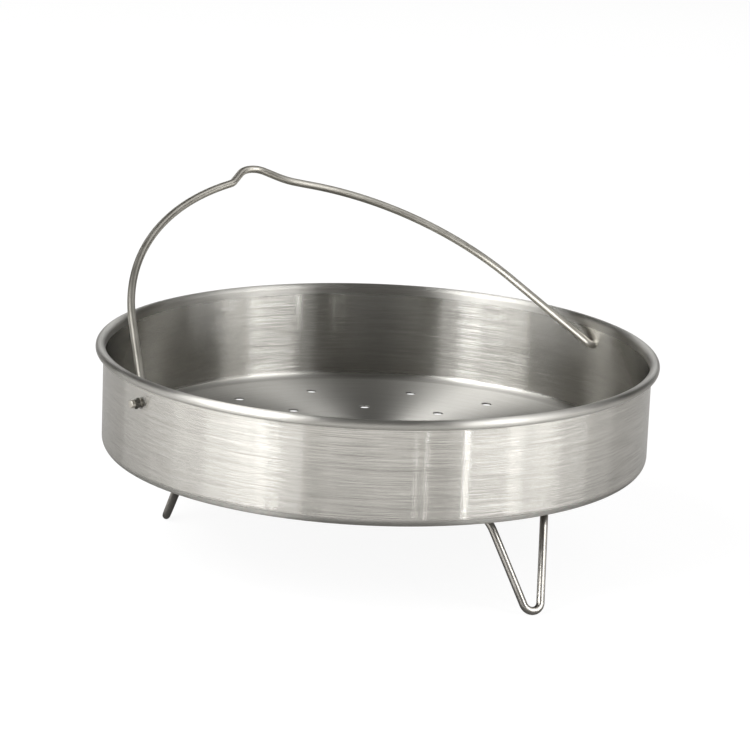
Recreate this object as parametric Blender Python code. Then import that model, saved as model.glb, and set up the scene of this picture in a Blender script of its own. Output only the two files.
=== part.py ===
"""Steaming insert of a pressure cooker.

A drawn steel tray with a rolled rim and a perforated floor hangs on a one-piece wire bail and
stands on a loose wire trivet with three V-shaped legs. Metres, +Z up. The origin is on the floor
that the trivet stands on, under the tray's axis, and +X runs along the bail's hinge line.
"""
import math

import bmesh
import bpy
from mathutils import Vector

# Tray
WALL_RADIUS = 0.105
BEAD_DIAMETER = 0.0037
TRAY_HEIGHT = 0.0405
SHEET = 0.0007
CORNER_RADIUS = 0.0038
CURL_GAP = 0.0003
TRAY_SEGMENTS = 96
CORNER_STEPS = 5
CURL_STEPS = 10

# Holes in the tray's floor, in rings counted from the wall inwards
HOLE_DIAMETER = 0.004
HOLE_MARGIN = 0.0182
HOLE_PITCH = 0.025
HOLE_COUNTS = (14, 12, 8)
HOLE_TURN = math.radians(60)
PAIR_SHIFT = math.radians(1.35)
HOLE_SIDES = 12

# Bail
WIRE_DIAMETER = 0.003
HINGE_DROP = 0.0103
HINGE_CLEARANCE = 0.0004
BAIL_LEAN = math.radians(59.3)
BAIL_RISE = 0.1127
ARCH_OFFSET = 0.015
LEG_SPLAY = 0.0082
BEND_MARGIN = 0.0004
BEND_INSET_SHARE = 0.9
HUMP_CENTRE = 0.0034
HUMP_HEIGHT = 0.0057
HUMP_CREST = 0.0068
HUMP_BEND = 0.0085
# On each side, from the bail's middle: the hump's foot, its lift off the arch, its bend, the arch's start
HUMP_SIDES = (
    (-1, 0.0084, 0.0001, 0.005, 0.0105),
    (1, 0.0161, 0.0007, 0.024, 0.024),
)
ARCH_STEPS = 18

# Crimped ends of the bail, outside the tray's wall
CRIMP_GAP = 0.0003
CRIMP_LENGTH = 0.0022
PIN_STUB = 0.0013
EAR_PROUD = 0.0007
PINCH_DEPTH = 0.00035
# (how far along the crimp, share of the full ear there)
CRIMP_STATIONS = ((0.15, 0.0), (0.4, 1.0), (0.85, 0.8), (1.0, 0.0))

# Trivet
TRIVET_HEIGHT = 0.036
SEAT_GAP = 0.0003
FOOT_INSET = 0.0056
FOOT_BEND = 0.00357
SHOULDER_BEND = 0.012
LEG_HALF_ANGLE = math.radians(13.7)
# Each leg's turn from the first one and its lean outwards, in degrees: the wire isn't bent quite evenly
LEGS = ((0, 29.1), (128, 15), (240, 19.5))
TRIVET_SHIFT = (0.0175, -0.0075)
TRIVET_TURN = math.radians(-99.6)
FOOT_STEPS = 12
BEND_STEPS = 6

WIRE_SIDES = 12
SMOOTH_ANGLE = math.radians(40)

# Derived sizes
WIRE_RADIUS = WIRE_DIAMETER / 2
INNER_RADIUS = WALL_RADIUS - SHEET
BEAD_RADIUS = BEAD_DIAMETER / 2
BASE_Z = TRIVET_HEIGHT
RIM_Z = BASE_Z + TRAY_HEIGHT
BEAD_Z = RIM_Z - BEAD_RADIUS
HINGE_Z = RIM_Z - HINGE_DROP
FLAT_RADIUS = WALL_RADIUS - CORNER_RADIUS
HOLE_RING_RADIUS = FLAT_RADIUS - HOLE_MARGIN
HOLE_CUTTER_LENGTH = 4 * SHEET
PIN_HOLE_RADIUS = WIRE_RADIUS + HINGE_CLEARANCE
PIN_CUTTER_LENGTH = 6 * SHEET
HINGE_BEND = WIRE_RADIUS + BEND_MARGIN
BAIL_BEND_X = INNER_RADIUS - BEND_INSET_SHARE * WIRE_RADIUS
ARCH_RADIUS = BAIL_BEND_X + ARCH_OFFSET - LEG_SPLAY
ARCH_CENTRE_Z = BAIL_RISE - math.sqrt(ARCH_RADIUS ** 2 - ARCH_OFFSET ** 2)
CRIMP_START = WALL_RADIUS + CRIMP_GAP
PIN_END = CRIMP_START + CRIMP_LENGTH + PIN_STUB
FOOT_RADIUS = WALL_RADIUS - FOOT_INSET


def clear_scene():
    """Remove every object, so that the script can be run again."""
    for item in list(bpy.data.objects):
        bpy.data.objects.remove(item, do_unlink=True)


def steel(name, colour, roughness):
    """A bare stainless steel material."""
    material = bpy.data.materials.new(name)
    material.use_nodes = True
    shader = material.node_tree.nodes["Principled BSDF"]
    shader.inputs["Base Color"].default_value = (*colour, 1)
    shader.inputs["Metallic"].default_value = 1
    shader.inputs["Roughness"].default_value = roughness
    return material


def add_object(name, mesh_builder, material=None):
    """Put a bmesh in the scene as a named object, smooth on its round faces."""
    bmesh.ops.recalc_face_normals(mesh_builder, faces=mesh_builder.faces)
    mesh = bpy.data.meshes.new(name)
    mesh_builder.to_mesh(mesh)
    mesh_builder.free()
    mesh.shade_smooth()
    mesh.set_sharp_from_angle(angle=SMOOTH_ANGLE)
    item = bpy.data.objects.new(name, mesh)
    bpy.context.collection.objects.link(item)
    if material:
        mesh.materials.append(material)
    return item


def arc(centre, radius, start, end, steps):
    """Points on an arc in a plane, both ends included; angles in radians."""
    angles = [start + (end - start) * step / steps for step in range(steps + 1)]
    return [(centre[0] + radius * math.cos(a), centre[1] + radius * math.sin(a)) for a in angles]


def lathe(profile, segments):
    """Turn an open (radius, height) profile about Z and close both of its ends with a flat face."""
    builder = bmesh.new()
    rings = []
    for radius, height in profile:
        ring = []
        for index in range(segments):
            angle = math.tau * index / segments
            ring.append(builder.verts.new((radius * math.cos(angle), radius * math.sin(angle), height)))
        rings.append(ring)
    for lower, upper in zip(rings, rings[1:]):
        for index in range(segments):
            after = (index + 1) % segments
            builder.faces.new((lower[index], lower[after], upper[after], upper[index]))
    builder.faces.new(rings[0])
    builder.faces.new(list(reversed(rings[-1])))
    return builder


def rounded_path(corners, closed=False):
    """Points along straight runs whose corners are rounded.

    Each corner is (point, bend radius, steps); a radius of 0 keeps the point itself.
    """
    points = []
    count = len(corners)
    for index, (point, radius, steps) in enumerate(corners):
        if radius == 0:
            points.append(point.copy())
            continue
        before = corners[(index - 1) % count][0]
        after = corners[(index + 1) % count][0]
        arriving = (point - before).normalized()
        leaving = (after - point).normalized()
        turn = arriving.angle(leaving)
        tangent = radius * math.tan(turn / 2)
        inward = (leaving - arriving).normalized()
        centre = point + inward * (radius / math.cos(turn / 2))
        first = point - arriving * tangent
        out = (first - centre).normalized()
        for step in range(steps + 1):
            angle = turn * step / steps
            points.append(centre + radius * (out * math.cos(angle) + arriving * math.sin(angle)))
    return points


def sweep(points, reference, section, closed=False):
    """A wire along points. reference(point) is never along the wire, and section(index) gives the
    radius at each corner of the ring there."""
    builder = bmesh.new()
    count = len(points)
    rings = []
    for index, point in enumerate(points):
        before = points[index - 1] if closed or index > 0 else point
        after = points[(index + 1) % count] if closed or index < count - 1 else point
        along = ((point - before).normalized() + (after - point).normalized()).normalized()
        across = reference(point)
        across = (across - along * across.dot(along)).normalized()
        other = along.cross(across)
        ring = []
        for side, radius in enumerate(section(index)):
            angle = math.tau * side / WIRE_SIDES
            ring.append(builder.verts.new(
                point + radius * (across * math.cos(angle) + other * math.sin(angle))))
        rings.append(ring)
    pairs = list(zip(rings, rings[1:]))
    if closed:
        pairs.append((rings[-1], rings[0]))
    else:
        builder.faces.new(rings[0])
        builder.faces.new(list(reversed(rings[-1])))
    for lower, upper in pairs:
        for side in range(WIRE_SIDES):
            after = (side + 1) % WIRE_SIDES
            builder.faces.new((lower[side], lower[after], upper[after], upper[side]))
    return builder


def tray_profile():
    """The sheet's section: floor, wall and rolled rim inside, then back down outside."""
    inside_corner = CORNER_RADIUS - SHEET
    curl_centre = (INNER_RADIUS + BEAD_RADIUS, BEAD_Z)
    reach = curl_centre[0] - WALL_RADIUS - CURL_GAP
    curl_end = -(math.pi - math.acos(min(1, reach / BEAD_RADIUS)))
    corner_centre = (FLAT_RADIUS, BASE_Z + CORNER_RADIUS)
    profile = arc(corner_centre, inside_corner, -math.pi / 2, 0, CORNER_STEPS)
    profile += arc(curl_centre, BEAD_RADIUS, math.pi, curl_end, CURL_STEPS)
    profile += arc(curl_centre, BEAD_RADIUS - SHEET, curl_end, math.pi, CURL_STEPS)
    profile += arc(corner_centre, CORNER_RADIUS, 0, -math.pi / 2, CORNER_STEPS)
    return profile


def hole_centres():
    """Centres of the floor's holes, ring by ring.

    Each ring stands half a step round from the last, and the holes of the outer ring are drawn
    together in pairs.
    """
    centres = []
    for ring, count in enumerate(HOLE_COUNTS):
        radius = HOLE_RING_RADIUS - ring * HOLE_PITCH
        start = HOLE_TURN + (0 if ring % 2 else math.pi / count)
        shift = PAIR_SHIFT if ring == 0 else 0
        for index in range(count):
            angle = start + math.tau * index / count + shift * (-1) ** index
            centres.append((radius * math.cos(angle), radius * math.sin(angle)))
    return centres


def cylinder(builder, centre, axis, radius, length, sides):
    """Add a closed cylinder, centred on a point, to a bmesh."""
    turn = Vector((0, 0, 1)).rotation_difference(axis).to_matrix().to_4x4()
    turn.translation = centre
    bmesh.ops.create_cone(builder, cap_ends=True, segments=sides, radius1=radius, radius2=radius,
                          depth=length, matrix=turn)


def cut(target, builder, name):
    """Cut the closed shapes in a bmesh out of an object."""
    cutter = add_object(name, builder)
    cutter.hide_render = True
    cutter.display_type = "WIRE"
    cutter.parent = target
    boolean = target.modifiers.new(name, "BOOLEAN")
    boolean.operation = "DIFFERENCE"
    boolean.solver = "EXACT"
    boolean.object = cutter


def make_tray(material):
    tray = add_object("tray", lathe(tray_profile(), TRAY_SEGMENTS), material)
    floor_holes = bmesh.new()
    for x, y in hole_centres():
        cylinder(floor_holes, Vector((x, y, BASE_Z + SHEET / 2)), Vector((0, 0, 1)),
                 HOLE_DIAMETER / 2, HOLE_CUTTER_LENGTH, HOLE_SIDES)
    cut(tray, floor_holes, "floor_hole_cutter")
    pin_holes = bmesh.new()
    for side in (-1, 1):
        cylinder(pin_holes, Vector((side * WALL_RADIUS, 0, HINGE_Z)), Vector((1, 0, 0)),
                 PIN_HOLE_RADIUS, PIN_CUTTER_LENGTH, 2 * HOLE_SIDES)
    cut(tray, pin_holes, "pin_hole_cutter")
    return tray


def arch_height(x):
    """Height of the arch's centreline above the hinge line, hump left out."""
    return ARCH_CENTRE_Z + math.sqrt(ARCH_RADIUS ** 2 - (abs(x) + ARCH_OFFSET) ** 2)


def arch_foot_angle():
    """Angle, at the arch's centre, where the straight leg to the hinge bend leaves the arc."""
    run = BAIL_BEND_X + ARCH_OFFSET
    distance = math.hypot(run, ARCH_CENTRE_Z)
    return math.acos(ARCH_RADIUS / distance) - math.atan2(ARCH_CENTRE_Z, run)


def bail_corners():
    """Corners of the bail in its own plane, from the left pin to the right one.

    Each half is an arc struck from beyond the middle, so that the two halves meet in a low point,
    where the wire is bent up into a small hump that stops a hook or fork from sliding.
    """
    foot = arch_foot_angle()
    sides = []
    for side, hump_foot, lift, foot_bend, arch_start in HUMP_SIDES:
        crest = HUMP_CENTRE * side + HUMP_CREST / 2
        corners = [(crest, BAIL_RISE + HUMP_HEIGHT, HUMP_BEND, BEND_STEPS),
                   (hump_foot, arch_height(hump_foot) + lift, foot_bend, BEND_STEPS)]
        top = math.acos((arch_start + ARCH_OFFSET) / ARCH_RADIUS)
        for x, z in arc((-ARCH_OFFSET, ARCH_CENTRE_Z), ARCH_RADIUS, top, foot, ARCH_STEPS):
            corners.append((x, z, 0, 0))
        corners.append((BAIL_BEND_X, 0, HINGE_BEND, BEND_STEPS))
        corners.append((CRIMP_START, 0, 0, 0))
        corners.append((PIN_END, 0, 0, 0))
        sides.append([(Vector((side * x, 0, z)), radius, steps) for x, z, radius, steps in corners])
    return list(reversed(sides[0])) + sides[1]


def make_bail(material):
    points = rounded_path(bail_corners())
    inner = points[2:-2]
    places = [CRIMP_START + CRIMP_LENGTH * along for along, _ in CRIMP_STATIONS]
    left_pin = [Vector((-PIN_END, 0, 0))] + [Vector((-x, 0, 0)) for x in reversed(places)]
    right_pin = [Vector((x, 0, 0)) for x in places] + [Vector((PIN_END, 0, 0))]
    path = left_pin + inner + right_pin
    ears = {}
    for step, (_, share) in enumerate(CRIMP_STATIONS):
        ears[len(places) - step] = share
        ears[len(path) - 1 - len(places) + step] = share

    def section(index):
        share = ears.get(index, 0.0)
        ear = WIRE_RADIUS + share * EAR_PROUD
        pinch = WIRE_RADIUS - share * PINCH_DEPTH
        return [ear if side % 3 == 0 else pinch for side in range(WIRE_SIDES)]

    bail = add_object("bail", sweep(path, lambda point: Vector((0, 1, 0)), section), material)
    bail.location = (0, 0, HINGE_Z)
    bail.rotation_euler = (-BAIL_LEAN, 0, 0)
    return bail


def leg_corners(azimuth, lean):
    """The two shoulders and the foot of one V-shaped leg, in the trivet's own frame."""
    out = Vector((math.cos(azimuth), math.sin(azimuth), 0))
    aside = Vector((-out.y, out.x, 0))
    down = math.sin(lean) * out - math.cos(lean) * Vector((0, 0, 1))
    top_z = TRIVET_HEIGHT - SEAT_GAP - WIRE_RADIUS
    tip = FOOT_RADIUS * out + Vector((0, 0, WIRE_RADIUS))
    point = tip + down * (FOOT_BEND / math.sin(LEG_HALF_ANGLE) - FOOT_BEND)
    slope = (top_z - point.z) / math.cos(lean)
    top = point - down * slope
    spread = slope * math.tan(LEG_HALF_ANGLE)
    return [(top - aside * spread, SHOULDER_BEND, BEND_STEPS),
            (point, FOOT_BEND, FOOT_STEPS),
            (top + aside * spread, SHOULDER_BEND, BEND_STEPS)]


def make_trivet(material):
    corners = []
    for turn, lean in LEGS:
        corners += leg_corners(math.radians(turn), math.radians(lean))
    points = rounded_path(corners, closed=True)

    def outwards(point):
        return Vector((point.x, point.y, 0))

    def section(index):
        return [WIRE_RADIUS] * WIRE_SIDES

    trivet = add_object("trivet", sweep(points, outwards, section, closed=True), material)
    trivet.location = (*TRIVET_SHIFT, 0)
    trivet.rotation_euler = (0, 0, TRIVET_TURN)
    return trivet


def main():
    clear_scene()
    brushed = steel("brushed_tray_steel", (0.62, 0.61, 0.58), 0.32)
    satin = steel("satin_bail_wire", (0.60, 0.58, 0.54), 0.28)
    bright = steel("bright_trivet_wire", (0.64, 0.62, 0.58), 0.18)
    make_tray(brushed)
    make_bail(satin)
    make_trivet(bright)


main()
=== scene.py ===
"""Steaming insert of a pressure cooker, dressed for its picture.

The tray, the bail and the trivet are each made again as one finer piece, which takes the place of
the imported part's node of that name and moves with its body. Metres, +Z up, in the part's own
frame: the trivet stands on z = 0, and the bail's hinge runs along X.
"""
import math

import bmesh
import bpy
from mathutils import Matrix, Quaternion, Vector

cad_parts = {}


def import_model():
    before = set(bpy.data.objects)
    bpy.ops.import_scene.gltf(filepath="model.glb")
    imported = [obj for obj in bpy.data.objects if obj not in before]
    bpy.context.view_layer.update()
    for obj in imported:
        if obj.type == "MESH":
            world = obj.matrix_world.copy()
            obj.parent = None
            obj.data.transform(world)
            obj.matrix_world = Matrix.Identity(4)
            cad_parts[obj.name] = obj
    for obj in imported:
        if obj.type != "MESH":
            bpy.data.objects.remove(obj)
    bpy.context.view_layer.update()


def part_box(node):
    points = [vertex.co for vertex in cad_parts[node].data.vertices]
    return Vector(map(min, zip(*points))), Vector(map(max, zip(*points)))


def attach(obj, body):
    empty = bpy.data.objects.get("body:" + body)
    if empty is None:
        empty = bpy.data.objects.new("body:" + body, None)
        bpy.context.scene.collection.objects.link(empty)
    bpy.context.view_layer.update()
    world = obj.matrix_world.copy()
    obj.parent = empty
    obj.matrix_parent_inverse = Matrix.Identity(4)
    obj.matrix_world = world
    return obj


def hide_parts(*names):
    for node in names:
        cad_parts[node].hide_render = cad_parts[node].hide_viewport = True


# Tray
SHEET = 0.0007
CORNER_RADIUS = 0.0038
BEAD_RADIUS = 0.00185
WALL_RADIUS = 0.105
CURL_GAP = 0.0003
TRAY_SEGMENTS = 288
CORNER_STEPS = 14
CURL_STEPS = 32

# Holes in the tray's floor: (ring radius, count, turn, shift that draws the holes into pairs)
HOLE_RINGS = (
    (0.083, 14, math.radians(60 + 180 / 14), math.radians(1.35)),
    (0.058, 12, math.radians(60), 0.0),
    (0.033, 8, math.radians(60 + 180 / 8), 0.0),
)
HOLE_RADIUS = 0.002
HOLE_EDGE = 0.00016
HOLE_SIDES = 32
HOLE_EDGE_STEPS = 4

# Holes in the tray's wall, which the ends of the bail turn in
PIN_HOLE_RADIUS = 0.00168
PIN_HOLE_SIDES = 48
DRILL_LENGTH = 6 * SHEET

# Wire
WIRE_RADIUS = 0.0015
WIRE_SIDES = 40

# Bail
HINGE_DROP = 0.0103
BAIL_LEAN = math.radians(59.3)
BAIL_RISE = 0.1127
BAIL_BEND_X = 0.10305
BAIL_HINGE_BEND = 0.0022
ARCH_OFFSET = 0.015
ARCH_RADIUS = 0.10975
ARCH_CENTRE = BAIL_RISE - math.sqrt(ARCH_RADIUS ** 2 - ARCH_OFFSET ** 2)
ARCH_STEPS = 60
BEND_STEPS = 14

# Hump at the top of the bail, where a finger or a fork lifts it
HUMP_CENTRE = 0.0034
HUMP_HEIGHT = 0.0055
HUMP_CREST = 0.0068
HUMP_BEND = 0.0085
# On each side, from the bail's middle: the hump's foot, its lift off the arch, its bend, the arch's start
HUMP_SIDES = (
    (-1, 0.0084, 0.0001, 0.005, 0.0105),
    (1, 0.0161, 0.0007, 0.024, 0.024),
)

# Crimped ends of the bail
CRIMP_START = 0.1053
CRIMP_LENGTH = 0.0022
PIN_STUB = 0.0013
EAR_PROUD = 0.0009
PINCH_DEPTH = 0.0005
EAR_COUNT = 4
EAR_TURN = math.radians(-16.7)
EAR_SHARPNESS = 2.5
END_ROUND = 0.0003
END_ROUND_STEPS = 4
# Along the crimp: (share of its length, share of the full ear there)
CRIMP_STATIONS = ((0.0, 0.5), (0.1, 0.95), (0.3, 1.0), (0.5, 0.92), (0.75, 0.35), (0.95, 0.0))

# Trivet
SEAT_GAP = 0.0003
FOOT_RADIUS = 0.0994
FOOT_BEND = 0.00357
SHOULDER_BEND = 0.012
LEG_HALF_ANGLE = math.radians(13.7)
# Each leg's turn from the first one and its lean outwards, in degrees: the wire isn't bent quite evenly
LEGS = ((0, 29.1), (128, 15), (240, 19.5))
TRIVET_SHIFT = Vector((0.0175, -0.0075, 0))
TRIVET_TURN = math.radians(-99.6)
FOOT_STEPS = 24

MERGE_DISTANCE = 1e-6
SMOOTH_ANGLE = math.radians(40)
# A face whose normal agrees with the true one by more than this belongs to the floor or to the wall
FLOOR_FLATNESS = 0.9999
WALL_UPRIGHTNESS = 0.99


# Meshes

def object_from(name, builder):
    """Put a bmesh in the scene as a named object, smooth on its round faces."""
    mesh = bpy.data.meshes.new(name)
    builder.to_mesh(mesh)
    builder.free()
    mesh.shade_smooth()
    mesh.set_sharp_from_angle(angle=SMOOTH_ANGLE)
    item = bpy.data.objects.new(name, mesh)
    bpy.context.scene.collection.objects.link(item)
    return item


def close_up(builder):
    """Join what meets in a bmesh and turn its faces outwards."""
    bmesh.ops.remove_doubles(builder, verts=builder.verts, dist=MERGE_DISTANCE)
    bmesh.ops.recalc_face_normals(builder, faces=builder.faces)


def arc(centre, radius, start, end, steps):
    """Points on an arc in a plane, both ends included; angles in radians."""
    angles = [start + (end - start) * step / steps for step in range(steps + 1)]
    return [(centre[0] + radius * math.cos(a), centre[1] + radius * math.sin(a)) for a in angles]


def lathe(profile, segments):
    """Turn an open (radius, height) profile about Z."""
    builder = bmesh.new()
    rings = []
    for radius, height in profile:
        ring = []
        for index in range(segments):
            angle = math.tau * index / segments
            ring.append(builder.verts.new((radius * math.cos(angle), radius * math.sin(angle), height)))
        rings.append(ring)
    for lower, upper in zip(rings, rings[1:]):
        for index in range(segments):
            after = (index + 1) % segments
            builder.faces.new((lower[index], lower[after], upper[after], upper[index]))
    return builder


def rounded_path(corners):
    """Points along straight runs whose corners, each (point, bend radius, steps), are rounded.

    The ends of an open path are corners with no radius.
    """
    points = []
    count = len(corners)
    for index, (point, radius, steps) in enumerate(corners):
        if radius == 0:
            points.append(point.copy())
            continue
        before = corners[(index - 1) % count][0]
        after = corners[(index + 1) % count][0]
        arriving = (point - before).normalized()
        leaving = (after - point).normalized()
        turn = arriving.angle(leaving)
        centre = point + (leaving - arriving).normalized() * (radius / math.cos(turn / 2))
        out = (point - arriving * radius * math.tan(turn / 2) - centre).normalized()
        for step in range(steps + 1):
            angle = turn * step / steps
            points.append(centre + radius * (out * math.cos(angle) + arriving * math.sin(angle)))
    return points


# Node trees

def put(tree, kind, inputs=None, **settings):
    """Add a node, set its properties, and set or link its inputs by name or number."""
    made = tree.nodes.new(kind)
    for name, value in settings.items():
        setattr(made, name, value)
    for name, value in (inputs or {}).items():
        socket = made.inputs[name]
        if isinstance(value, bpy.types.NodeSocket):
            tree.links.new(value, socket)
        else:
            socket.default_value = value
    return made


def maths(tree, operation, *values):
    """A Math node on sockets or numbers; gives its result socket."""
    return put(tree, "ShaderNodeMath", dict(enumerate(values)), operation=operation).outputs[0]


def geometry_tree(name, inputs):
    """An empty Geometry Nodes tree with named inputs: {name: (socket type, value)}."""
    tree = bpy.data.node_groups.new(name, "GeometryNodeTree")
    tree.interface.new_socket("Geometry", in_out="INPUT", socket_type="NodeSocketGeometry")
    for label, (kind, value) in inputs.items():
        socket = tree.interface.new_socket(label, in_out="INPUT", socket_type=kind)
        if kind in ("NodeSocketFloat", "NodeSocketInt"):
            socket.default_value = value
    tree.interface.new_socket("Geometry", in_out="OUTPUT", socket_type="NodeSocketGeometry")
    return tree, tree.nodes.new("NodeGroupInput").outputs


def finish_tree(tree, geometry, sources):
    """Realize the instances, give the material and send the geometry out."""
    real = put(tree, "GeometryNodeRealizeInstances", {0: geometry}).outputs[0]
    coated = put(tree, "GeometryNodeSetMaterial", {"Geometry": real, "Material": sources["Material"]})
    put(tree, "NodeGroupOutput", {0: coated.outputs[0]})


def applied(item, modifier):
    """The plain mesh that an object's modifier makes; the modifier is taken off."""
    evaluated = item.evaluated_get(bpy.context.evaluated_depsgraph_get())
    mesh = bpy.data.meshes.new_from_object(evaluated)
    item.modifiers.remove(modifier)
    return mesh


def run_tree(item, tree, values):
    """Run a tree on an object with the values of its named inputs; gives the plain mesh."""
    modifier = item.modifiers.new(tree.name, "NODES")
    modifier.node_group = tree
    sockets = {s.name: s.identifier for s in tree.interface.items_tree if s.in_out == "INPUT"}
    for name, value in values.items():
        modifier[sockets[name]] = value
    return applied(item, modifier)


# Tray

def hole_ring(tree, radius, count, turn, pair_shift):
    """Points at the middles of one ring of holes."""
    index = put(tree, "GeometryNodeInputIndex").outputs[0]
    along = maths(tree, "DIVIDE", maths(tree, "MULTIPLY", index, math.tau), count)
    side = maths(tree, "MULTIPLY_ADD", maths(tree, "MODULO", index, 2.0), -2.0, 1.0)
    angle = maths(tree, "ADD", maths(tree, "ADD", along, turn), maths(tree, "MULTIPLY", side, pair_shift))
    place = put(tree, "ShaderNodeCombineXYZ", {
        "X": maths(tree, "MULTIPLY", maths(tree, "COSINE", angle), radius),
        "Y": maths(tree, "MULTIPLY", maths(tree, "SINE", angle), radius)})
    return put(tree, "GeometryNodePoints", {"Count": count, "Position": place.outputs[0]}).outputs[0]


def perforated_floor_tree():
    """A round sheet with rings of holes, each hole with a softened edge."""
    inputs = {
        "Plate Radius": ("NodeSocketFloat", WALL_RADIUS - CORNER_RADIUS),
        "Plate Sides": ("NodeSocketInt", TRAY_SEGMENTS),
        "Top Height": ("NodeSocketFloat", SHEET),
        "Bottom Height": ("NodeSocketFloat", 0.0),
        "Mouth Radius": ("NodeSocketFloat", HOLE_RADIUS),
        "Mouth Sides": ("NodeSocketInt", HOLE_SIDES),
        "Hole Lip": ("NodeSocketObject", None),
        "Material": ("NodeSocketMaterial", None),
    }
    for number, (radius, count, turn, pair_shift) in enumerate(HOLE_RINGS, 1):
        inputs[f"Ring {number} Radius"] = ("NodeSocketFloat", radius)
        inputs[f"Ring {number} Count"] = ("NodeSocketInt", count)
        inputs[f"Ring {number} Turn"] = ("NodeSocketFloat", turn)
        inputs[f"Ring {number} Pair Shift"] = ("NodeSocketFloat", pair_shift)
    tree, sources = geometry_tree("perforated_floor", inputs)
    centres = put(tree, "GeometryNodeJoinGeometry")
    for number in range(len(HOLE_RINGS), 0, -1):
        ring = hole_ring(tree, sources[f"Ring {number} Radius"], sources[f"Ring {number} Count"],
                         sources[f"Ring {number} Turn"], sources[f"Ring {number} Pair Shift"])
        tree.links.new(ring, centres.inputs[0])
    mouth = put(tree, "GeometryNodeCurvePrimitiveCircle", {
        "Resolution": sources["Mouth Sides"], "Radius": sources["Mouth Radius"]})
    mouths = put(tree, "GeometryNodeInstanceOnPoints", {
        "Points": centres.outputs[0], "Instance": mouth.outputs[0]})
    plate = put(tree, "GeometryNodeCurvePrimitiveCircle", {
        "Resolution": sources["Plate Sides"], "Radius": sources["Plate Radius"]})
    outlines = put(tree, "GeometryNodeJoinGeometry", {0: plate.outputs[0]})
    real_mouths = put(tree, "GeometryNodeRealizeInstances", {0: mouths.outputs[0]})
    tree.links.new(real_mouths.outputs[0], outlines.inputs[0])
    sheet = put(tree, "GeometryNodeFillCurve", {"Curve": outlines.outputs[0]})
    lip = put(tree, "GeometryNodeObjectInfo", {"Object": sources["Hole Lip"]})
    lips = put(tree, "GeometryNodeInstanceOnPoints", {
        "Points": centres.outputs[0], "Instance": lip.outputs["Geometry"]})
    whole = put(tree, "GeometryNodeJoinGeometry", {0: lips.outputs[0]})
    for height in (sources["Bottom Height"], sources["Top Height"]):
        lift = put(tree, "ShaderNodeCombineXYZ", {"Z": height})
        face = put(tree, "GeometryNodeTransform", {
            "Geometry": sheet.outputs[0], "Translation": lift.outputs[0]})
        tree.links.new(face.outputs[0], whole.inputs[0])
    finish_tree(tree, whole.outputs[0], sources)
    return tree


def hole_lip(bottom, top):
    """The wall of one hole, rounded over at both faces of the sheet."""
    edge = HOLE_RADIUS + HOLE_EDGE
    profile = arc((edge, top - HOLE_EDGE), HOLE_EDGE, math.pi / 2, math.pi, HOLE_EDGE_STEPS)
    profile += arc((edge, bottom + HOLE_EDGE), HOLE_EDGE, math.pi, 1.5 * math.pi, HOLE_EDGE_STEPS)
    return object_from("hole_lip", lathe(profile, HOLE_SIDES))


def tray_wall_profile(base, rim):
    """The sheet's section from the floor's edge up the inside, round the rolled rim and back down."""
    flat_radius = WALL_RADIUS - CORNER_RADIUS
    inner_radius = WALL_RADIUS - SHEET
    corner_centre = (flat_radius, base + CORNER_RADIUS)
    curl_centre = (inner_radius + BEAD_RADIUS, rim - BEAD_RADIUS)
    reach = curl_centre[0] - WALL_RADIUS - CURL_GAP
    curl_end = -(math.pi - math.acos(reach / BEAD_RADIUS))
    profile = arc(corner_centre, CORNER_RADIUS - SHEET, -math.pi / 2, 0, CORNER_STEPS)
    profile += arc(curl_centre, BEAD_RADIUS, math.pi, curl_end, CURL_STEPS)
    profile += arc(curl_centre, BEAD_RADIUS - SHEET, curl_end, math.pi, CURL_STEPS)
    profile += arc(corner_centre, CORNER_RADIUS, 0, -math.pi / 2, CORNER_STEPS)
    return profile


def cut_pin_holes(tray, hinge):
    """Bore the two holes that the ends of the bail turn in."""
    builder = bmesh.new()
    for side in (-1, 1):
        place = Matrix.Translation((side * WALL_RADIUS, 0, hinge)) @ Matrix.Rotation(math.pi / 2, 4, "Y")
        bmesh.ops.create_cone(builder, cap_ends=True, segments=PIN_HOLE_SIDES, radius1=PIN_HOLE_RADIUS,
                              radius2=PIN_HOLE_RADIUS, depth=DRILL_LENGTH, matrix=place)
    drill = object_from("pin_hole_drill", builder)
    boolean = tray.modifiers.new("pin_holes", "BOOLEAN")
    boolean.operation = "DIFFERENCE"
    boolean.solver = "EXACT"
    boolean.object = drill
    tray.data = applied(tray, boolean)
    bpy.data.objects.remove(drill)


def true_normals(tray, base, rim):
    """Shade the upright wall as a true cylinder and the floor as a true plane, also round the holes."""
    mesh = tray.data
    mesh.set_sharp_from_angle(angle=SMOOTH_ANGLE)
    normals = [item.vector.copy() for item in mesh.corner_normals]
    flat = {}
    for face in mesh.polygons:
        if face.center.z < base + 2 * SHEET and abs(face.normal.z) > FLOOR_FLATNESS:
            for vertex in face.vertices:
                flat[vertex] = Vector((0, 0, math.copysign(1, face.normal.z)))
    for index, loop in enumerate(mesh.loops):
        if loop.vertex_index in flat:
            normals[index] = flat[loop.vertex_index]
    low, high = base + CORNER_RADIUS, rim - BEAD_RADIUS
    for face in mesh.polygons:
        out = Vector((face.center.x, face.center.y, 0)).normalized()
        upright = abs(face.normal.dot(out)) > WALL_UPRIGHTNESS
        inside_curl = Vector(face.center[:2]).length <= WALL_RADIUS
        if not (upright and inside_curl and low < face.center.z < high):
            continue
        sign = 1 if face.normal.dot(out) > 0 else -1
        for loop in face.loop_indices:
            corner = mesh.vertices[mesh.loops[loop].vertex_index].co
            normals[loop] = sign * Vector((corner.x, corner.y, 0)).normalized()
    mesh.normals_split_custom_set(normals)


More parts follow.
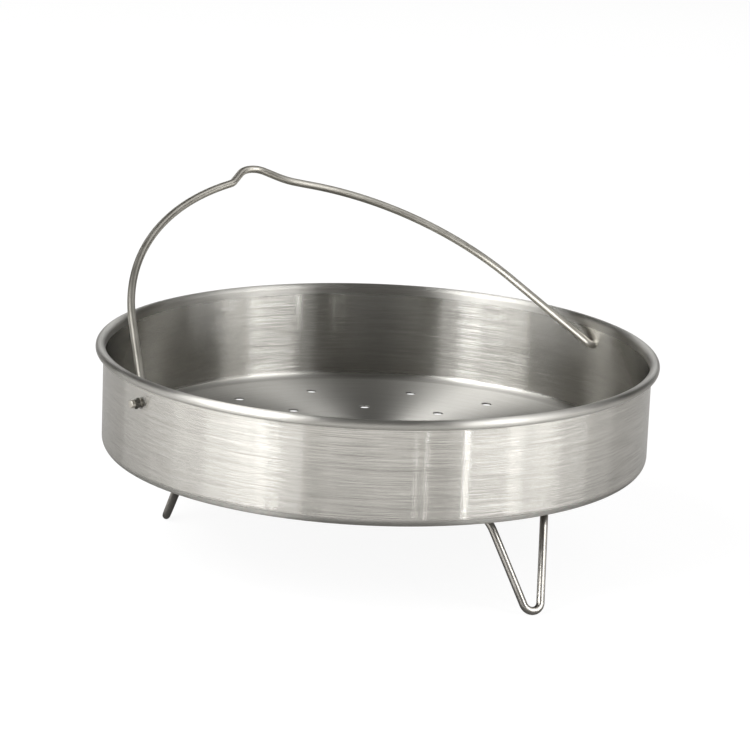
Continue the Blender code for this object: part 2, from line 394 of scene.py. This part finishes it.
def make_tray(material, base, rim):
    """The drawn tray: perforated floor, upright wall, rolled rim and pin holes, as one sheet."""
    lip = hole_lip(base, base + SHEET)
    empty = object_from("tray_floor_base", bmesh.new())
    sheet = run_tree(empty, perforated_floor_tree(), {
        "Plate Radius": WALL_RADIUS - CORNER_RADIUS,
        "Plate Sides": TRAY_SEGMENTS,
        "Top Height": base + SHEET,
        "Bottom Height": base,
        "Mouth Radius": HOLE_RADIUS + HOLE_EDGE,
        "Mouth Sides": HOLE_SIDES,
        "Hole Lip": lip,
        "Material": material,
    })
    builder = lathe(tray_wall_profile(base, rim), TRAY_SEGMENTS)
    builder.from_mesh(sheet)
    close_up(builder)
    tray = object_from("tray_shell", builder)
    for spare in (lip, empty):
        bpy.data.objects.remove(spare)
    cut_pin_holes(tray, rim - HINGE_DROP)
    true_normals(tray, base, rim)
    tray.data.materials.clear()
    tray.data.materials.append(material)
    return tray


# Bail

def arch_height(x):
    """Height of the arch's centreline above the hinge line, x from its middle, hump left out."""
    return ARCH_CENTRE + math.sqrt(ARCH_RADIUS ** 2 - (x + ARCH_OFFSET) ** 2)


def bail_path():
    """The bail's centreline in its own plane, from the left crimp to the right one."""
    run = BAIL_BEND_X + ARCH_OFFSET
    foot = math.acos(ARCH_RADIUS / math.hypot(run, ARCH_CENTRE)) - math.atan2(ARCH_CENTRE, run)
    sides = []
    for side, hump_foot, lift, foot_bend, arch_start in HUMP_SIDES:
        crest = HUMP_CENTRE * side + HUMP_CREST / 2
        corners = [(crest, BAIL_RISE + HUMP_HEIGHT, HUMP_BEND, BEND_STEPS),
                   (hump_foot, arch_height(hump_foot) + lift, foot_bend, BEND_STEPS)]
        top = math.acos((arch_start + ARCH_OFFSET) / ARCH_RADIUS)
        for x, z in arc((-ARCH_OFFSET, ARCH_CENTRE), ARCH_RADIUS, top, foot, ARCH_STEPS):
            corners.append((x, z, 0, 0))
        corners.append((BAIL_BEND_X, 0, BAIL_HINGE_BEND, BEND_STEPS))
        corners.append((CRIMP_START, 0, 0, 0))
        sides.append([(Vector((side * x, 0, z)), radius, steps) for x, z, radius, steps in corners])
    return rounded_path(list(reversed(sides[0])) + sides[1])


def wire_ring(builder, point, along, across, radii):
    """One ring of corners round a wire."""
    across = (across - along * across.dot(along)).normalized()
    other = along.cross(across)
    ring = []
    for side, radius in enumerate(radii):
        angle = math.tau * side / len(radii)
        ring.append(builder.verts.new(point + radius * (across * math.cos(angle) + other * math.sin(angle))))
    return ring


def skin(builder, rings):
    """Faces between the rings of a wire, with both its ends capped."""
    builder.faces.new(rings[0])
    builder.faces.new(list(reversed(rings[-1])))
    for lower, upper in zip(rings, rings[1:]):
        for side in range(len(lower)):
            after = (side + 1) % len(lower)
            builder.faces.new((lower[side], lower[after], upper[after], upper[side]))


def crimp_radii(share):
    """The wire's section where it is pinched: hollows between sharp ears."""
    radii = []
    for side in range(WIRE_SIDES):
        angle = math.tau * side / WIRE_SIDES - EAR_TURN
        ear = abs(math.cos(EAR_COUNT / 2 * angle)) ** EAR_SHARPNESS
        radii.append(WIRE_RADIUS - share * PINCH_DEPTH + share * ear * (PINCH_DEPTH + EAR_PROUD))
    return radii


def pin_stations():
    """Along one end of the bail, outwards: (x, radii of the ring there)."""
    stations = [(CRIMP_START + along * CRIMP_LENGTH, crimp_radii(share)) for along, share in CRIMP_STATIONS]
    end = CRIMP_START + CRIMP_LENGTH + PIN_STUB
    centre = (end - END_ROUND, WIRE_RADIUS - END_ROUND)
    for x, radius in arc(centre, END_ROUND, math.pi / 2, 0, END_ROUND_STEPS):
        stations.append((x, [radius] * WIRE_SIDES))
    return stations


def make_bail(material, hinge):
    """The one-piece wire bail with its crimped ends, leaning as it is at rest."""
    inner = bail_path()[1:-1]
    stations = pin_stations()
    path = [(Vector((-x, 0, 0)), radii) for x, radii in reversed(stations)]
    path += [(point, [WIRE_RADIUS] * WIRE_SIDES) for point in inner]
    path += [(Vector((x, 0, 0)), radii) for x, radii in stations]
    builder = bmesh.new()
    rings = []
    for index, (point, radii) in enumerate(path):
        before = path[max(index - 1, 0)][0]
        after = path[min(index + 1, len(path) - 1)][0]
        along = ((point - before).normalized() + (after - point).normalized()).normalized()
        rings.append(wire_ring(builder, point, along, Vector((0, 1, 0)), radii))
    skin(builder, rings)
    bmesh.ops.recalc_face_normals(builder, faces=builder.faces)
    place = Matrix.Translation((0, 0, hinge)) @ Matrix.Rotation(-BAIL_LEAN, 4, "X")
    bmesh.ops.transform(builder, matrix=place, verts=builder.verts)
    bail = object_from("bail_wire", builder)
    bail.data.materials.append(material)
    return bail


# Trivet

def leg_corners(azimuth, lean, top_z):
    """The two shoulders and the foot of one V-shaped leg, in the trivet's own frame."""
    out = Vector((math.cos(azimuth), math.sin(azimuth), 0))
    aside = Vector((-out.y, out.x, 0))
    down = math.sin(lean) * out - math.cos(lean) * Vector((0, 0, 1))
    tip = FOOT_RADIUS * out + Vector((0, 0, WIRE_RADIUS))
    point = tip + down * (FOOT_BEND / math.sin(LEG_HALF_ANGLE) - FOOT_BEND)
    slope = (top_z - point.z) / math.cos(lean)
    top = point - down * slope
    spread = slope * math.tan(LEG_HALF_ANGLE)
    return [(top - aside * spread, SHOULDER_BEND, BEND_STEPS),
            (point, FOOT_BEND, FOOT_STEPS),
            (top + aside * spread, SHOULDER_BEND, BEND_STEPS)]


def wire_tree():
    """A round wire along the edges of a path."""
    tree, sources = geometry_tree("wire_along_path", {
        "Wire Radius": ("NodeSocketFloat", WIRE_RADIUS),
        "Wire Sides": ("NodeSocketInt", WIRE_SIDES),
        "Material": ("NodeSocketMaterial", None),
    })
    path = put(tree, "GeometryNodeMeshToCurve", {0: sources["Geometry"]})
    section = put(tree, "GeometryNodeCurvePrimitiveCircle", {
        "Resolution": sources["Wire Sides"], "Radius": sources["Wire Radius"]})
    wire = put(tree, "GeometryNodeCurveToMesh", {0: path.outputs[0], 1: section.outputs[0]})
    finish_tree(tree, wire.outputs[0], sources)
    return tree


def make_trivet(material, base):
    """The loose trivet: one wire bent into a ring of three V-shaped legs."""
    corners = []
    for turn, lean in LEGS:
        corners += leg_corners(math.radians(turn), math.radians(lean), base - SEAT_GAP - WIRE_RADIUS)
    place = Matrix.Translation(TRIVET_SHIFT) @ Matrix.Rotation(TRIVET_TURN, 4, "Z")
    builder = bmesh.new()
    dots = [builder.verts.new(place @ point) for point in rounded_path(corners)]
    for dot, after in zip(dots, dots[1:] + dots[:1]):
        builder.edges.new((dot, after))
    path = object_from("trivet_path", builder)
    mesh = run_tree(path, wire_tree(), {
        "Wire Radius": WIRE_RADIUS, "Wire Sides": WIRE_SIDES, "Material": material})
    bpy.data.objects.remove(path)
    builder = bmesh.new()
    builder.from_mesh(mesh)
    close_up(builder)
    trivet = object_from("trivet_wire", builder)
    trivet.data.materials.clear()
    trivet.data.materials.append(material)
    return trivet


# Finishes

# Brush lines of the tray: cells of noise in a metre along the lines, and in a metre across them
BRUSH_LINES = (40.0, 2600.0)
BRUSH_GRAIN = (30.0, 14000.0)
BRUSH_BANDS = (20.0, 900.0)
LINES_SHARE = 0.75
LINES_CONTRAST = (0.25, 0.75)
# Grain finer than the picture's dots, which blurs what the steel mirrors across the brush lines
GRAIN_DEPTH = 0.000045
GRAIN_FILTER = 0.002
TRAY_COLOURS = ((0.475, 0.465, 0.435), (0.61, 0.60, 0.57))
TRAY_ROUGHNESS = (0.17, 0.2)
SMUDGE_SCALE = 28.0
SMUDGE_RANGE = (0.35, 0.7)

# The tray's floor and rolled rim are duller, and painted shade darkens the floor's colour. The floor's
# finish fades out over these heights above its base, and the rim's sets in over these depths below its top.
TRAY_FLOOR_DULLNESS = 0.5
TRAY_FLOOR_PAINTED_SHADE = 0.35
TRAY_FLOOR_FADE = (0.001, 0.003)
BEAD_DULLNESS = 0.18
BEAD_FADE = (2.2 * BEAD_RADIUS, 2 * BEAD_RADIUS)

# Each wire: its darker colour, its lighter colour, its roughness
BAIL_FINISH = ((0.47, 0.45, 0.40), (0.57, 0.55, 0.50), 0.38)
TRIVET_FINISH = ((0.46, 0.44, 0.405), (0.58, 0.56, 0.52), 0.34)
WIRE_LINES_SCALE = 9.0
WIRE_SPOTS_SCALE = 120.0
WIRE_TONE_RANGE = (0.35, 0.65)
WIRE_SPOTS_RANGE = (0.3, 0.7)
WIRE_ROUGHNESS_SPREAD = (-0.04, 0.05)
# Painted shade on the bail's crimped ends: the share of the colour taken off, and where it sets in and ends
CRIMP_PAINTED_SHADE = 0.8
CRIMP_SHADE_FADE = (-0.0002, 0.0001)


def steel_shader(name, roughness, anisotropy=0.0):
    """A bare steel material: (material, its node tree, its shader node)."""
    material = bpy.data.materials.new(name)
    material.use_nodes = True
    tree = material.node_tree
    shader = tree.nodes["Principled BSDF"]
    shader.inputs["Metallic"].default_value = 1.0
    shader.inputs["Roughness"].default_value = roughness
    shader.inputs["Anisotropic"].default_value = anisotropy
    return material, tree, shader


def noise(tree, vector, scale, detail, roughness=0.5):
    """Noise between about 0 and 1."""
    return put(tree, "ShaderNodeTexNoise", {
        "Vector": vector, "Scale": scale, "Detail": detail, "Roughness": roughness}).outputs[0]


def map_range(tree, value, before, after):
    """A value whose range, (low, high), is stretched to another."""
    return put(tree, "ShaderNodeMapRange", {
        "Value": value, "From Min": before[0], "From Max": before[1],
        "To Min": after[0], "To Max": after[1]}).outputs[0]


def blend_colours(tree, share, first, second):
    """A mix of two colours."""
    mix = put(tree, "ShaderNodeMix", data_type="RGBA")
    tree.links.new(share, mix.inputs["Factor"])
    first_socket, second_socket = (item for item in mix.inputs if item.type == "RGBA")
    first_socket.default_value = (*first, 1)
    second_socket.default_value = (*second, 1)
    return next(item for item in mix.outputs if item.type == "RGBA")


def turned_streaks(tree, cells):
    """Coordinates for brush lines that run round the tray's axis, on its floor and on its wall."""
    along, across = cells
    place = put(tree, "ShaderNodeTexCoord").outputs["Object"]
    split = put(tree, "ShaderNodeSeparateXYZ", {0: place})
    flat = put(tree, "ShaderNodeCombineXYZ", {"X": split.outputs["X"], "Y": split.outputs["Y"]})
    radius = put(tree, "ShaderNodeVectorMath", {0: flat.outputs[0]}, operation="LENGTH").outputs["Value"]
    height = maths(tree, "ADD", radius, split.outputs["Z"])
    return put(tree, "ShaderNodeCombineXYZ", {
        "X": maths(tree, "MULTIPLY", split.outputs["X"], along),
        "Y": maths(tree, "MULTIPLY", split.outputs["Y"], along),
        "Z": maths(tree, "MULTIPLY", height, across)}).outputs[0]


def brushed_tray_steel(base, rim):
    """Stainless sheet brushed round the tray's axis."""
    material, tree, shader = steel_shader("brushed_tray_steel", 0.3, anisotropy=1.0)
    shader.inputs["Anisotropic Rotation"].default_value = 0.25
    tangent = put(tree, "ShaderNodeTangent", direction_type="RADIAL", axis="Z")
    tree.links.new(tangent.outputs[0], shader.inputs["Tangent"])
    lines = noise(tree, turned_streaks(tree, BRUSH_LINES), 1.0, 2.0, 0.7)
    grain = noise(tree, turned_streaks(tree, BRUSH_GRAIN), 1.0, 1.0)
    bands = noise(tree, turned_streaks(tree, BRUSH_BANDS), 1.0, 2.0)
    place = put(tree, "ShaderNodeTexCoord").outputs["Object"]
    smudge = noise(tree, place, SMUDGE_SCALE, 3.0)
    tone = maths(tree, "MULTIPLY_ADD", lines, LINES_SHARE, maths(tree, "MULTIPLY", bands, 1 - LINES_SHARE))
    colour = blend_colours(tree, map_range(tree, tone, LINES_CONTRAST, (0.0, 1.0)), *TRAY_COLOURS)
    height = put(tree, "ShaderNodeSeparateXYZ", {0: place}).outputs["Z"]
    floor_share = map_range(tree, height, [base + rise for rise in TRAY_FLOOR_FADE], (1.0, 0.0))
    bead_share = map_range(tree, height, [rim - drop for drop in BEAD_FADE], (0.0, 1.0))
    # Painted shade: the colour of the floor inside the tray is darkened
    shade = maths(tree, "MULTIPLY_ADD", floor_share, -TRAY_FLOOR_PAINTED_SHADE, 1.0)
    dark = put(tree, "ShaderNodeVectorMath", {0: colour, "Scale": shade}, operation="SCALE")
    tree.links.new(dark.outputs["Vector"], shader.inputs["Base Color"])
    bead_rough = maths(tree, "MULTIPLY", bead_share, BEAD_DULLNESS)
    duller = maths(tree, "MULTIPLY_ADD", floor_share, TRAY_FLOOR_DULLNESS, bead_rough)
    rough = maths(tree, "ADD", map_range(tree, smudge, SMUDGE_RANGE, TRAY_ROUGHNESS), duller)
    tree.links.new(rough, shader.inputs["Roughness"])
    bump = put(tree, "ShaderNodeBump", {
        "Strength": 1.0, "Distance": GRAIN_DEPTH, "Filter Width": GRAIN_FILTER, "Height": grain})
    tree.links.new(bump.outputs[0], shader.inputs["Normal"])
    return material


def wire_steel(name, low, high, roughness):
    """Drawn wire: faint lines along its length, slightly uneven gloss, and painted shade darkening the
    crimps.
    """
    material, tree, shader = steel_shader(name, roughness)
    coordinates = put(tree, "ShaderNodeTexCoord").outputs
    lines = noise(tree, coordinates["Normal"], WIRE_LINES_SCALE, 2.0)
    spots = noise(tree, coordinates["Object"], WIRE_SPOTS_SCALE, 2.0)
    share = maths(tree, "MULTIPLY_ADD", lines, 0.5, maths(tree, "MULTIPLY", spots, 0.5))
    colour = blend_colours(tree, map_range(tree, share, WIRE_TONE_RANGE, (0.0, 1.0)), low, high)
    x = put(tree, "ShaderNodeSeparateXYZ", {0: coordinates["Object"]}).outputs["X"]
    # Painted shade on the crimped ends, between their start and their end along X
    outside = maths(tree, "ABSOLUTE", x)
    past_start = map_range(tree, outside, [CRIMP_START + edge for edge in CRIMP_SHADE_FADE], (0.0, 1.0))
    crimp_end = CRIMP_START + CRIMP_LENGTH
    before_end = map_range(tree, outside, [crimp_end + edge for edge in CRIMP_SHADE_FADE], (1.0, 0.0))
    crimp = maths(tree, "MULTIPLY", past_start, before_end)
    shade = maths(tree, "SUBTRACT", 1.0, maths(tree, "MULTIPLY", crimp, CRIMP_PAINTED_SHADE))
    dark = put(tree, "ShaderNodeVectorMath", {0: colour, "Scale": shade}, operation="SCALE")
    tree.links.new(dark.outputs["Vector"], shader.inputs["Base Color"])
    spread = [roughness + change for change in WIRE_ROUGHNESS_SPREAD]
    tree.links.new(map_range(tree, spots, WIRE_SPOTS_RANGE, spread), shader.inputs["Roughness"])
    return material


# Studio

CAMERA_TURN = math.radians(34.4)
CAMERA_DISTANCE = 1.2661
CAMERA_ELEVATION = math.radians(14.19)
CAMERA_YAW = math.radians(0.034)
CAMERA_PITCH = math.radians(-0.418)
CAMERA_ROLL = math.radians(-2.382)
CAMERA_LENS = 158.4
CAMERA_AIM = Vector((0, 0, 0.07465))
SENSOR_WIDTH = 36.0
CAMERA_CLIP = (0.05, 60.0)

FLOOR_RADIUS = 9.0
FLOOR_SIDES = 96
FLOOR_Z = -0.0002
# The table's colour where it throws light back on the object, then its look to the camera
FLOOR_COLOUR = (0.86, 0.86, 0.86)
FLOOR_DIFFUSE = 0.13
FLOOR_GLOW = 0.92
# As metal mirrors the table, it has painted light and shade: brighter towards the camera, with a painted
# shadow behind and close to the tray
REFLECTED_FLOOR_DIFFUSE = 0.1
REFLECTED_FLOOR_TINT = (1.0, 0.98, 0.95)
REFLECTED_FLOOR_FRONT = 1.28
REFLECTED_FLOOR_BACK = 0.45
FRONT_TO_BACK = (-0.2, 0.2)
# Painted shadow round the tray in what the metal mirrors: full within the first distance from the axis, gone
# past the second, and the light left under the tray
SHADE_START = 0.1
SHADE_END = 0.26
SHADE_UNDER_TRAY = 0.05
ROOM_COLOUR = (0.052, 0.05, 0.046)

# Rows of softboxes that face the tray: the elevation and the height of the row's boxes, then of each
# box (azimuth from the camera to its right, width, brightness). Angles in degrees, sizes in metres.
SOFTBOX_DISTANCE = 1.6
SOFTBOX_ROWS = (
    (4.5, 0.25, ((-112, 0.56, 1.7), (-94, 0.45, 2.3), (-80, 0.34, 3.0), (-69, 0.28, 2.9), (-59, 0.28, 2.8),
                 (-48.2, 0.31, 3.5), (-31, 0.22, 1.3), (-2, 0.95, 0.75), (60.5, 0.34, 3.6),
                 (72.5, 0.34, 4.7), (86, 0.42, 2.8), (102, 0.48, 1.1))),
    (3.0, 0.2, ((16.4, 0.012, 15.0), (20.6, 0.012, 18.0), (36.5, 0.05, 18.0))),
    (20.0, 0.5, ((180, 1.6, 1.0),)),
    (25.0, 0.74, ((-86, 0.5, 0.3), (-66, 0.34, 3.2), (-54.5, 0.3, 4.6), (-43, 0.28, 6.6), (-33, 0.25, 2.0),
                  (35.5, 0.25, 1.0), (45.5, 0.3, 4.8), (56.5, 0.3, 5.7), (69, 0.4, 1.6))),
    (50.0, 0.9, ((-70, 1.3, 5.2), (70, 1.3, 1.1), (115, 1.0, 0.8))),
    (88.0, 1.6, ((0, 1.6, 0.2),)),
)


def make_camera():
    """The camera at the photograph's place, in the part's frame."""
    back = Vector((0, -math.cos(CAMERA_ELEVATION), math.sin(CAMERA_ELEVATION)))
    forward, right = -back, Vector((1, 0, 0))
    up = right.cross(forward)
    yaw = Quaternion(up, CAMERA_YAW)
    forward, right = yaw @ forward, yaw @ right
    pitch = Quaternion(right, CAMERA_PITCH)
    forward, up = pitch @ forward, pitch @ up
    roll = Quaternion(forward, CAMERA_ROLL)
    right, up = roll @ right, roll @ up
    axes = Matrix((right, up, -forward)).transposed().to_4x4()
    turn = Matrix.Rotation(-CAMERA_TURN, 4, "Z")
    data = bpy.data.cameras.new("camera")
    data.lens = CAMERA_LENS
    data.sensor_width = SENSOR_WIDTH
    data.clip_start, data.clip_end = CAMERA_CLIP
    camera = bpy.data.objects.new("camera", data)
    stand = Matrix.Translation(back * CAMERA_DISTANCE)
    camera.matrix_world = Matrix.Translation(CAMERA_AIM) @ turn @ stand @ axes
    bpy.context.scene.collection.objects.link(camera)
    bpy.context.scene.camera = camera


def pale_floor_material():
    """White table: it glows white to the camera and in reflections, where painted light and a painted shadow
    round the tray are added; it still takes the shadow.
    """
    material = bpy.data.materials.new("pale_floor")
    material.use_nodes = True
    tree = material.node_tree
    tree.nodes.clear()
    rays = put(tree, "ShaderNodeLightPath").outputs
    reflected = maths(tree, "MAXIMUM", rays["Is Glossy Ray"], rays["Is Transmission Ray"])
    place = put(tree, "ShaderNodeTexCoord").outputs["Object"]
    # Painted light towards the camera and painted shadow behind and close to the tray, seen only in
    # reflections
    behind = put(tree, "ShaderNodeVectorMath", {0: place, 1: direction(180, 0)}, operation="DOT_PRODUCT")
    painted_front_light = map_range(tree, behind.outputs["Value"], FRONT_TO_BACK,
                        (REFLECTED_FLOOR_FRONT, REFLECTED_FLOOR_BACK))
    away = put(tree, "ShaderNodeVectorMath", {0: place}, operation="LENGTH").outputs["Value"]
    painted_shadow_near_tray = map_range(tree, away, (SHADE_START, SHADE_END), (SHADE_UNDER_TRAY, 1.0))
    in_metal = maths(tree, "MULTIPLY", painted_front_light, painted_shadow_near_tray)
    look = put(tree, "ShaderNodeBsdfDiffuse", {"Color": (*FLOOR_COLOUR, 1)}).outputs[0]
    for seen, diffuse, tint, strength in (
            (reflected, REFLECTED_FLOOR_DIFFUSE, REFLECTED_FLOOR_TINT, in_metal),
            (rays["Is Camera Ray"], FLOOR_DIFFUSE, (1.0, 1.0, 1.0), FLOOR_GLOW)):
        shaded = put(tree, "ShaderNodeBsdfDiffuse", {"Color": (diffuse, diffuse, diffuse, 1)})
        glow = put(tree, "ShaderNodeEmission", {"Color": (*tint, 1), "Strength": strength})
        white = put(tree, "ShaderNodeAddShader", {0: shaded.outputs[0], 1: glow.outputs[0]})
        look = put(tree, "ShaderNodeMixShader", {0: seen, 1: look, 2: white.outputs[0]}).outputs[0]
    put(tree, "ShaderNodeOutputMaterial", {"Surface": look})
    return material


def make_floor():
    """The table that the insert stands on."""
    builder = bmesh.new()
    bmesh.ops.create_circle(builder, cap_ends=True, segments=FLOOR_SIDES, radius=FLOOR_RADIUS)
    bmesh.ops.translate(builder, vec=(0, 0, FLOOR_Z), verts=builder.verts)
    floor = object_from("floor", builder)
    floor.data.materials.append(pale_floor_material())


def direction(azimuth, elevation):
    """Unit vector from the tray; azimuth in degrees from the camera, to the camera's right."""
    angle = math.radians(azimuth) - CAMERA_TURN
    level = math.cos(math.radians(elevation))
    return Vector((math.sin(angle) * level, -math.cos(angle) * level, math.sin(math.radians(elevation))))


def make_lights():
    """Softboxes round the table, in an even, dim room."""
    room = bpy.data.worlds.new("room")
    room.use_nodes = True
    room.node_tree.nodes["Background"].inputs["Color"].default_value = (*ROOM_COLOUR, 1)
    bpy.context.scene.world = room
    for elevation, height, row in SOFTBOX_ROWS:
        for azimuth, width, brightness in row:
            name = f"softbox_{elevation:g}_{azimuth:g}"
            data = bpy.data.lights.new(name, "AREA")
            data.shape = "RECTANGLE"
            data.size, data.size_y = width, height
            data.energy = brightness * math.pi * width * height
            box = bpy.data.objects.new(name, data)
            towards = direction(azimuth, elevation)
            box.location = CAMERA_AIM + SOFTBOX_DISTANCE * towards
            box.rotation_euler = towards.to_track_quat("Z", "Y").to_euler()
            box.visible_camera = False
            bpy.context.scene.collection.objects.link(box)


def main():
    """Dress the part, light it and stand the camera."""
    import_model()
    tray_low, tray_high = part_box("tray")
    base, rim = tray_low.z, tray_high.z

    tray = make_tray(brushed_tray_steel(base, rim), base, rim)
    bail = make_bail(wire_steel("satin_bail_wire", *BAIL_FINISH), rim - HINGE_DROP)
    trivet = make_trivet(wire_steel("bright_trivet_wire", *TRIVET_FINISH), base)
    for piece, node, slot in ((tray, "tray", "brushed_tray_steel"), (bail, "bail", "satin_bail_wire"),
                              (trivet, "trivet", "bright_trivet_wire")):
        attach(piece, node)
        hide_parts(node)

    make_floor()
    make_lights()
    make_camera()
    bpy.context.scene.view_settings.view_transform = "Standard"


main()
